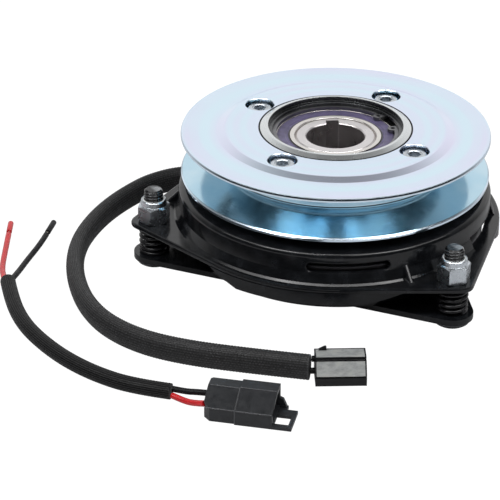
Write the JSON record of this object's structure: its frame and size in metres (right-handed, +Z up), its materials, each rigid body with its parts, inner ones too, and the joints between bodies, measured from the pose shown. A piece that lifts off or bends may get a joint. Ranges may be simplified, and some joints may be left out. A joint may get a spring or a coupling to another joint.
{
  "type": "electromagnetic clutch",
  "caption": "Electric power take-off clutch and brake: keyed hub, coil field, rotor, armature, belt pulley, spring-set brake plate, with its plugged lead and adapter harness.",
  "frame": {"origin": "centre of the hub's bore in the plane of the bolt heads and of the hub's lower face, on which the clutch stands", "axes": "+Z up along the bore axis towards the pulley, +X to the right as the lead plug's free end points, -Y towards the lead plug and the adapter harness"},
  "size_m": [0.2489, 0.2645, 0.0706],
  "materials": {
    "black_paint": "glossy black enamel",
    "black_steel": "black oxide, lightly oiled",
    "spring_paint": "gloss black",
    "pulley_plate": "turned steel with bright zinc plating",
    "carrier_steel": "satin machined steel",
    "bearing_steel": "ground bearing steel",
    "hub_steel": "turned sintered steel",
    "rotor_steel": "machined steel",
    "zinc": "zinc plated",
    "spring_steel": "rolled spring steel",
    "black_ring": "phosphated",
    "seal_rubber": "moulded nitrile, dark violet",
    "grommet_rubber": "moulded",
    "friction": "moulded friction material",
    "copper": "enamelled copper",
    "resin": "cast epoxy",
    "bobbin_nylon": "moulded nylon",
    "collar_nylon": "nylon",
    "sleeve_braid": "braided polyester sleeving",
    "wire_black": "PVC insulation",
    "wire_red": "PVC insulation",
    "plug_gloss": "moulded nylon, glossy",
    "plug_matte": "moulded nylon, matt",
    "terminal_brass": "tinned brass"
  },
  "bodies": {
    "field": {"mounting_plate": "black_paint", "stud_bolts": "black_steel", "field_shell": "black_paint", "shell_rivets": "zinc", "coil_bobbin": "bobbin_nylon", "coil_winding": "copper", "coil_resin": "resin", "field_bearing_outer_race": "bearing_steel", "field_bearing_seals": "seal_rubber", "brake_springs": "spring_paint", "lead_grommet": "grommet_rubber", "lead_sleeve": "sleeve_braid", "lead_wires": "wire_black", "lead_plug": "plug_gloss", "lead_plug_terminals": "terminal_brass", "adapter_sleeve": "sleeve_braid", "adapter_wire_black": "wire_black", "adapter_wire_red": "wire_red", "adapter_tail_black": "wire_black", "adapter_tail_red": "wire_red", "adapter_slug_black": "wire_black", "adapter_slug_red": "wire_red", "adapter_strands": "terminal_brass", "adapter_plug": "plug_matte", "adapter_plug_terminals": "terminal_brass"},
    "field_balls": {"field_bearing_balls": "bearing_steel", "field_bearing_cage": "spring_steel"},
    "rotor": {"hub": "hub_steel", "rotor": "rotor_steel", "field_bearing_inner_race": "bearing_steel", "pulley_bearing_inner_race": "bearing_steel"},
    "pulley_balls": {"pulley_bearing_balls": "bearing_steel", "pulley_bearing_cage": "spring_steel"},
    "pulley": {"pulley_upper_flange": "pulley_plate", "pulley_lower_flange": "pulley_plate", "pulley_screws": "zinc", "bearing_carrier": "carrier_steel", "snap_ring": "black_ring", "pulley_bearing_outer_race": "bearing_steel", "pulley_bearing_seals": "seal_rubber", "leaf_springs": "spring_steel", "leaf_spring_rivets": "zinc"},
    "armature": {"armature": "rotor_steel", "armature_rivets": "zinc"},
    "brake": {"brake_plate": "black_paint", "brake_skirts": "black_paint", "brake_pads": "friction"},
    "nut_left": {"adjusting_nut_left": "zinc", "nut_collar_left": "collar_nylon"},
    "nut_right": {"adjusting_nut_right": "zinc", "nut_collar_right": "collar_nylon"},
    "nut_rear": {"adjusting_nut_rear": "zinc", "nut_collar_rear": "collar_nylon"}
  },
  "joints": [
    {"name": "rotor_spin", "type": "hinge", "parent": "field", "child": "rotor", "pos_m": [0, 0, 0.014], "axis": [0, 0, 1], "continuous": true},
    {"name": "field_cage_spin", "type": "hinge", "parent": "field", "child": "field_balls", "pos_m": [0, 0, 0.014], "axis": [0, 0, 1], "continuous": true},
    {"name": "pulley_spin", "type": "hinge", "parent": "rotor", "child": "pulley", "pos_m": [0, 0, 0.0591], "axis": [0, 0, 1], "continuous": true},
    {"name": "pulley_cage_spin", "type": "hinge", "parent": "rotor", "child": "pulley_balls", "pos_m": [0, 0, 0.0591], "axis": [0, 0, 1], "continuous": true},
    {"name": "armature_pull", "type": "slide", "parent": "pulley", "child": "armature", "axis": [0, 0, 1], "range_m": [-0.0004, 0], "stiffness_N_per_m": 30000, "springref_m": 0.00015, "deforming": ["leaf_springs"]},
    {"name": "brake_lift", "type": "slide", "parent": "field", "child": "brake", "axis": [0, 0, 1], "range_m": [0, 0.00079375], "deforming": ["brake_springs"]},
    {"name": "nut_turn_left", "type": "hinge", "parent": "brake", "child": "nut_left", "pos_m": [-0.08949, -0.01131, 0.0296], "axis": [0, 0, 1], "range_deg": [0, 181]},
    {"name": "nut_turn_right", "type": "hinge", "parent": "brake", "child": "nut_right", "pos_m": [0.05454, -0.07185, 0.0296], "axis": [0, 0, 1], "range_deg": [0, 181]},
    {"name": "nut_turn_rear", "type": "hinge", "parent": "brake", "child": "nut_rear", "pos_m": [0.03495, 0.08315, 0.0296], "axis": [0, 0, 1], "range_deg": [0, 181]}
  ],
  "couplings": [
    {"joint": "field_cage_spin", "follows": "rotor_spin", "ratio": 0.4358},
    {"joint": "pulley_cage_spin", "follows": "pulley_spin", "ratio": 0.5642},
    {"joint": "nut_turn_left", "follows": "brake_lift", "rad_per_m": 3957.9},
    {"joint": "nut_turn_right", "follows": "brake_lift", "rad_per_m": 3957.9},
    {"joint": "nut_turn_rear", "follows": "brake_lift", "rad_per_m": 3957.9}
  ]
}
